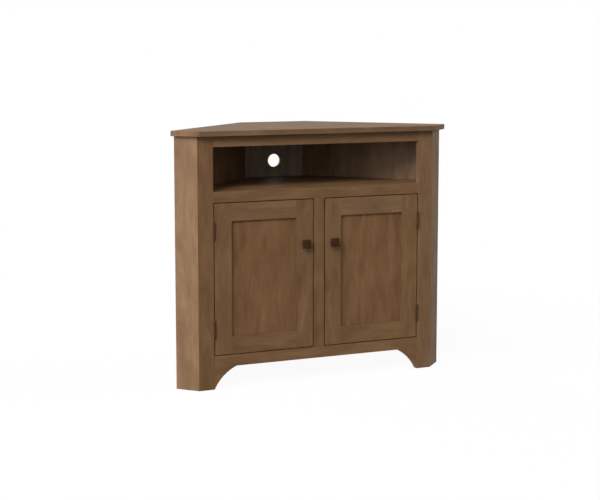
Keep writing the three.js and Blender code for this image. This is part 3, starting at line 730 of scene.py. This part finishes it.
def dark_bronze():
    """Bronze darkened in a bath: almost black, with worn warm edges and a soft, uneven sheen."""
    material, tree = new_material("oil-rubbed dark bronze")
    place = add(tree, "ShaderNodeTexCoord")
    edge = add(tree, "ShaderNodeAttribute", attribute_name="edge")
    cloud = add(tree, "ShaderNodeTexNoise", {"Vector": place.outputs["Object"], "Scale": 1 / BRONZE_CLOUD,
                                             "Detail": 4.0})
    grit = add(tree, "ShaderNodeTexNoise", {"Vector": place.outputs["Object"], "Scale": 1 / BRONZE_GRIT,
                                            "Detail": 2.0})
    tint = add(tree, "ShaderNodeValToRGB", {"Fac": cloud.outputs["Fac"]})
    tint.color_ramp.elements[0].position = CLOUD_FROM
    tint.color_ramp.elements[0].color = linear("#2b1f12")
    tint.color_ramp.elements[1].position = CLOUD_TO
    tint.color_ramp.elements[1].color = linear("#3e2c1b")
    worn = add(tree, "ShaderNodeMath", {0: edge.outputs["Fac"], 1: cloud.outputs["Fac"]}, operation="MULTIPLY")
    colour = add(tree, "ShaderNodeMix", {0: worn.outputs[0], 6: tint.outputs[0], 7: linear("#4b3522")},
                 data_type="RGBA")
    surface(tree, colour.outputs[2], cloud.outputs["Fac"], BRONZE_ROUGHNESS, grit.outputs["Fac"], GRIT_STRENGTH,
            GRIT_DEPTH, {"Metallic": 1.0, "Specular Tint": linear("#6b5a45")})
    return material


bronze = dark_bronze()
print("hinges, knobs and hinge screws:", bronze.name)

# %% [markdown]
# The shelf pins, plates and all other screws are zinc-plated steel: a pale grey with a clear shine, broken up by
# the fine lines that drawing the wire and rolling the strip leave in it.

# %% Zinc-plated steel
LINES_PER_METRE = (900, 900, 120)  # each line about 1.1 mm wide and 8 mm long
LINE_STRENGTH, LINE_DEPTH = 0.15, 0.03 * MM
STEEL_ROUGHNESS = (0.26, 0.42)


def plated_steel():
    """Zinc-plated steel with the fine lines of its drawing."""
    material, tree = new_material("zinc-plated steel")
    place = add(tree, "ShaderNodeTexCoord")
    lines = add(tree, "ShaderNodeMapping", {"Vector": place.outputs["Object"], "Scale": LINES_PER_METRE})
    streak = add(tree, "ShaderNodeTexNoise", {"Vector": lines.outputs[0], "Scale": 1.0, "Detail": 3.0})
    tint = add(tree, "ShaderNodeValToRGB", {"Fac": streak.outputs["Fac"]})
    tint.color_ramp.elements[0].color = linear("#8f8f8c")
    tint.color_ramp.elements[1].color = linear("#b9b9b4")
    surface(tree, tint.outputs[0], streak.outputs["Fac"], STEEL_ROUGHNESS, streak.outputs["Fac"], LINE_STRENGTH,
            LINE_DEPTH, {"Metallic": 1.0})
    return material


steel = plated_steel()
print("pins, plates and other screws:", steel.name)

# %% [markdown]
# The catch housings are moulded in brown plastic. The mould was spark-eroded, which leaves an even, fine grain
# that takes the gloss off.

# %% Moulded plastic
PLASTIC_GRAIN = 0.8 * MM
GRAIN_STRENGTH, GRAIN_DEPTH = 0.3, 0.08 * MM
PLASTIC_ROUGHNESS = (0.48, 0.62)
PLASTIC_IOR = 1.49


def moulded_plastic():
    """Dark brown moulded plastic with a spark-eroded grain."""
    material, tree = new_material("moulded brown plastic")
    place = add(tree, "ShaderNodeTexCoord")
    grit = add(tree, "ShaderNodeTexNoise", {"Vector": place.outputs["Object"], "Scale": 1 / PLASTIC_GRAIN,
                                            "Detail": 2.0})
    tint = add(tree, "ShaderNodeValToRGB", {"Fac": grit.outputs["Fac"]})
    tint.color_ramp.elements[0].color = linear("#261e18")
    tint.color_ramp.elements[1].color = linear("#30271f")
    surface(tree, tint.outputs[0], grit.outputs["Fac"], PLASTIC_ROUGHNESS, grit.outputs["Fac"], GRAIN_STRENGTH,
            GRAIN_DEPTH, {"IOR": PLASTIC_IOR})
    return material


plastic = moulded_plastic()
print("catch housings:", plastic.name)

# %% [markdown]
# ## Finished hardware
#
# The model's knobs, hinges, pins and plates have the right shapes, with flat facets where the real ones are
# turned. Their finished copies get a smaller easing than the boards and smooth shading across the facets.
#
# Measured again on the picture, the knobs come out a little wider than the model's. Their copies are spread about
# their own axes to that width, which leaves them where they are and as far from the door as they were.

# %% Knobs, hinges, pins and plates
METAL_EASE = 0.15 * MM
METAL_SHARP_ANGLE = math.radians(50)
TURNED_ANGLE = math.radians(34)
KNOB_WIDTH = 31.5 * MM
hardware = {"dark_bronze": bronze, "steel": steel, "dark_plastic": plastic}
slots = {"knob": "dark_bronze", "hinge_pin": "dark_bronze", "leaf": "dark_bronze", "catch": "dark_plastic",
         "shelf_pin": "steel", "strike_plate": "steel", "knob_screw": "steel"}

finished = 0
for name in sorted(nodes):
    found = [slot for ending, slot in slots.items() if name.endswith(ending)]
    if not found:
        continue
    mesh, marks = eased_copy(name, METAL_EASE, METAL_SHARP_ANGLE, TURNED_ANGLE)
    if name.endswith("_door_knob"):
        low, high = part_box(name)
        axis = (low + high) / 2
        spread = KNOB_WIDTH / (high.x - low.x)
        for corner in mesh.vertices:
            corner.co.x = axis.x + spread * (corner.co.x - axis.x)
            corner.co.z = axis.z + spread * (corner.co.z - axis.z)
    mesh.attributes.new("edge", "FLOAT", "POINT").data.foreach_set("value", marks)
    put("finished_" + name, mesh, hardware[found[0]], nodes[name]["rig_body"], found[0], name)
    finished += 1
print("pieces of hardware finished:", finished)

# %% [markdown]
# ## Screws
#
# The hinge leaves, strike plates, catches, back and top cleats are all held by screws with a cross slot. They
# repeat, so Geometry Nodes make them: one head is built from a cylinder and two crossed bars cut out of it, and
# it is set on every point of a small cloud. Each point says which way its screw faces and how wide the head is.
# The hinges came with screws in their own dark bronze, and all others are steel, so there is a cloud for each
# kind and body.
#
# The head has radius 1 and height 1 about its point, and the bars are lifted so far that the slot's floor lies
# just above the middle.

# %% Screw head tree
SHAPE, WHOLE, DECIMAL = "NodeSocketGeometry", "NodeSocketInt", "NodeSocketFloat"
QUARTER_TURN = math.pi / 2


def screw_tree():
    """A Geometry Nodes tree that sets a cross-slotted head on every point."""
    tree = bpy.data.node_groups.new("screw heads", "GeometryNodeTree")
    sockets = tree.interface
    sockets.new_socket("Points", in_out="INPUT", socket_type=SHAPE)
    sockets.new_socket("Sides", in_out="INPUT", socket_type=WHOLE).default_value = 20
    sockets.new_socket("Slot Width", in_out="INPUT", socket_type=DECIMAL).default_value = 0.3
    sockets.new_socket("Slot Length", in_out="INPUT", socket_type=DECIMAL).default_value = 1.2
    sockets.new_socket("Slot Lift", in_out="INPUT", socket_type=DECIMAL).default_value = 0.55
    sockets.new_socket("Seed", in_out="INPUT", socket_type=WHOLE).default_value = 5
    sockets.new_socket("Finish", in_out="INPUT", socket_type="NodeSocketMaterial")
    sockets.new_socket("Heads", in_out="OUTPUT", socket_type=SHAPE)
    given = add(tree, "NodeGroupInput").outputs

    # One head with its cross slot.
    head = add(tree, "GeometryNodeMeshCylinder", {"Vertices": given["Sides"], "Radius": 1.0, "Depth": 1.0})
    lift = add(tree, "ShaderNodeCombineXYZ", {2: given["Slot Lift"]})
    slotted = add(tree, "GeometryNodeMeshBoolean", {"Mesh 1": head.outputs["Mesh"], "Self Intersection": True},
                  operation="DIFFERENCE", solver="EXACT")
    for width, depth in (("Slot Length", "Slot Width"), ("Slot Width", "Slot Length")):
        size = add(tree, "ShaderNodeCombineXYZ", {0: given[width], 1: given[depth], 2: 1.0})
        bar = add(tree, "GeometryNodeMeshCube", {"Size": size.outputs[0]})
        raised = add(tree, "GeometryNodeTransform", {"Geometry": bar.outputs["Mesh"],
                                                     "Translation": lift.outputs[0]})
        tree.links.new(raised.outputs[0], slotted.inputs["Mesh 2"])

    # Turned to each point's direction, spun at random and sized by the point.
    facing = add(tree, "GeometryNodeInputNamedAttribute", {"Name": "facing"}, data_type="FLOAT_VECTOR")
    head_size = add(tree, "GeometryNodeInputNamedAttribute", {"Name": "head_size"}, data_type="FLOAT_VECTOR")
    aimed = add(tree, "FunctionNodeAlignRotationToVector", {"Vector": facing.outputs["Attribute"]}, axis="Z")
    spin = add(tree, "FunctionNodeRandomValue", {"Min": (0, 0, 0), "Max": (0, 0, QUARTER_TURN),
                                                 "Seed": given["Seed"]}, data_type="FLOAT_VECTOR")
    spun = add(tree, "FunctionNodeEulerToRotation", {0: spin.outputs[0]})
    turned = add(tree, "FunctionNodeRotateRotation", {"Rotation": aimed.outputs[0], "Rotate By": spun.outputs[0]},
                 rotation_space="LOCAL")
    placed = add(tree, "GeometryNodeInstanceOnPoints", {"Points": given["Points"],
                                                        "Instance": slotted.outputs["Mesh"],
                                                        "Rotation": turned.outputs[0],
                                                        "Scale": head_size.outputs["Attribute"]})
    real = add(tree, "GeometryNodeRealizeInstances", {"Geometry": placed.outputs[0]})
    finished = add(tree, "GeometryNodeSetMaterial", {"Geometry": real.outputs[0], "Material": given["Finish"]})
    add(tree, "NodeGroupOutput", {"Heads": finished.outputs[0]})
    return tree


screws = screw_tree()
print("nodes in the screw tree:", len(screws.nodes))

# %% [markdown]
# The screws are noted first, each with its kind and body, and baked together later. A head's size is its radius
# and how far it stands proud of what it holds.
#
# A hinge leaf has three countersunk screws in a zigzag, so that they don't split the edge of a stile. They stand
# only two tenths of a millimetre proud, because the shut leaves lie less than a millimetre apart. The leaves'
# faces are measured from the joint's own axis.

# %% Hinge screws
LEAF_FACE = 0.4 * MM
LEAF_ZIGZAG = ((-22 * MM, 17.3 * MM), (0, 12.3 * MM), (22 * MM, 17.3 * MM))  # up from the middle, and inwards
LEAF_HEAD, LEAF_PROUD = 2.9 * MM, 0.2 * MM

screw_holes = {}


def screw(kind, body, place, facing, radius, proud):
    """Notes one screw for its kind and body: its place, the way its head faces, and the head's size."""
    screw_holes.setdefault((kind, body), []).append((Vector(place), Vector(facing), (radius, radius, 2 * proud)))


def screw_hinges(side, sign, axis):
    """Screws for both leaves of a door's two hinges."""
    for end in ("upper", "lower"):
        low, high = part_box(f"{side}_{end}_hinge_pin")
        level = (low.z + high.z) / 2
        for up, inward in LEAF_ZIGZAG:
            at = Vector((axis.x, axis.y + inward, level + up))
            off = Vector((sign * LEAF_FACE, 0, 0))
            screw("hinge_screws", "carcass", at + off, (-sign, 0, 0), LEAF_HEAD, LEAF_PROUD)
            screw("hinge_screws", f"{side}_door", at - off, (sign, 0, 0), LEAF_HEAD, LEAF_PROUD)


print("screws in a hinge leaf:", len(LEAF_ZIGZAG))

# %% [markdown]
# Everything else is measured from the box of the piece that the screw holds. A strike plate has two flat heads,
# and a catch two pan heads through its ears.

# %% Catch and strike plate screws
PLATE_HEAD, PLATE_PROUD, PLATE_END = 2.6 * MM, 0.12 * MM, 6 * MM
PAN_HEAD, PAN_PROUD = 3.4 * MM, 1.1 * MM
CATCH_END, CATCH_SIDE = 8 * MM, 9 * MM


def screw_catch(side, sign):
    """Screws for a door's strike plate and for the catch that holds it."""
    low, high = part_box(f"{side}_door_strike_plate")
    for level in (low.z + PLATE_END, high.z - PLATE_END):
        middle = ((low.x + high.x) / 2, high.y, level)
        screw("fixing_screws", f"{side}_door", middle, (0, 1, 0), PLATE_HEAD, PLATE_PROUD)
    low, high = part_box(f"{side}_magnetic_catch")
    near_middle = min(abs(low.x), abs(high.x)) * sign
    for level in (low.z + CATCH_END, high.z - CATCH_END):
        ear = (near_middle + sign * CATCH_SIDE, high.y, level)
        screw("fixing_screws", "carcass", ear, (0, 1, 0), PAN_HEAD, PAN_PROUD)


print("pan head, millimetres across:", round(2 * PAN_HEAD / MM, 1))

# %% [markdown]
# The back is screwed to the walls in a row down each side, and the top is held from below through the cleats.

# %% Back and cleat screws
BACK_HEAD, BACK_PROUD = 4.0 * MM, 0.6 * MM
BACK_ROWS, BACK_END, BACK_EDGE = 6, 40 * MM, 7 * MM
CLEAT_SCREWS, CLEAT_END = 4, 0.1  # the end is a share of the cleat's length


def screw_back(sign):
    """Screws down one side of the back."""
    low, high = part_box("back_panel")
    for row in range(BACK_ROWS):
        level = low.z + BACK_END + row * (high.z - low.z - 2 * BACK_END) / (BACK_ROWS - 1)
        near_edge = (sign * (high.x - BACK_EDGE), high.y, level)
        screw("fixing_screws", "carcass", near_edge, (0, 1, 0), BACK_HEAD, BACK_PROUD)


def screw_cleat(side, sign):
    """Screws up through one cleat, which runs at 45 degrees from corner to corner of its box."""
    low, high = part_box(f"{side}_top_cleat")
    inner, outer = (low, high) if sign > 0 else (Vector((high.x, low.y, low.z)), Vector((low.x, high.y, high.z)))
    for step in range(CLEAT_SCREWS):
        share = CLEAT_END + (1 - 2 * CLEAT_END) * step / (CLEAT_SCREWS - 1)
        under = (outer.x + (inner.x - outer.x) * share, low.y + (high.y - low.y) * share, low.z)
        screw("fixing_screws", "carcass", under, (0, 0, -1), PAN_HEAD, PAN_PROUD)


for joint in frame["joints"]:
    side = joint["name"].split("_")[0]
    sign = 1 if side == "right" else -1
    screw_hinges(side, sign, Vector(joint["pos_m"]))
    screw_catch(side, sign)
    screw_back(sign)
    screw_cleat(side, sign)
print("screws:", {f"{kind}, {body}": len(found) for (kind, body), found in screw_holes.items()})

# %% [markdown]
# The tree runs once on each cloud, and its result becomes a plain mesh, because the screws have to ride on their
# bodies as any other piece does.

# %% Bake the screws to one mesh for each kind and body
screw_finish = {"hinge_screws": ("dark_bronze", bronze), "fixing_screws": ("steel", steel)}
finish_id = next(item.identifier for item in screws.interface.items_tree if item.name == "Finish")

for (kind, body), found in screw_holes.items():
    slot, finish = screw_finish[kind]
    name = f"{kind}_{body}"
    cloud = bpy.data.meshes.new("points_for_" + name)
    cloud.from_pydata([place for place, _, _ in found], [], [])
    for label, values in (("facing", [f for _, f, _ in found]), ("head_size", [s for _, _, s in found])):
        layer = cloud.attributes.new(label, "FLOAT_VECTOR", "POINT")
        layer.data.foreach_set("vector", [part for value in values for part in value])
    points = bpy.data.objects.new("points_for_" + name, cloud)
    bpy.context.scene.collection.objects.link(points)
    modifier = points.modifiers.new("heads", "NODES")
    modifier.node_group = screws
    modifier[finish_id] = finish
    bpy.context.view_layer.update()
    graph = bpy.context.evaluated_depsgraph_get()
    mesh = bpy.data.meshes.new_from_object(points.evaluated_get(graph))
    mesh.name = name
    bpy.data.objects.remove(points)
    piece = bpy.data.objects.new(name, mesh)
    bpy.context.scene.collection.objects.link(piece)
    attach(piece, body)
    print(piece.name, "triangles:", sum(len(p.vertices) - 2 for p in mesh.polygons))
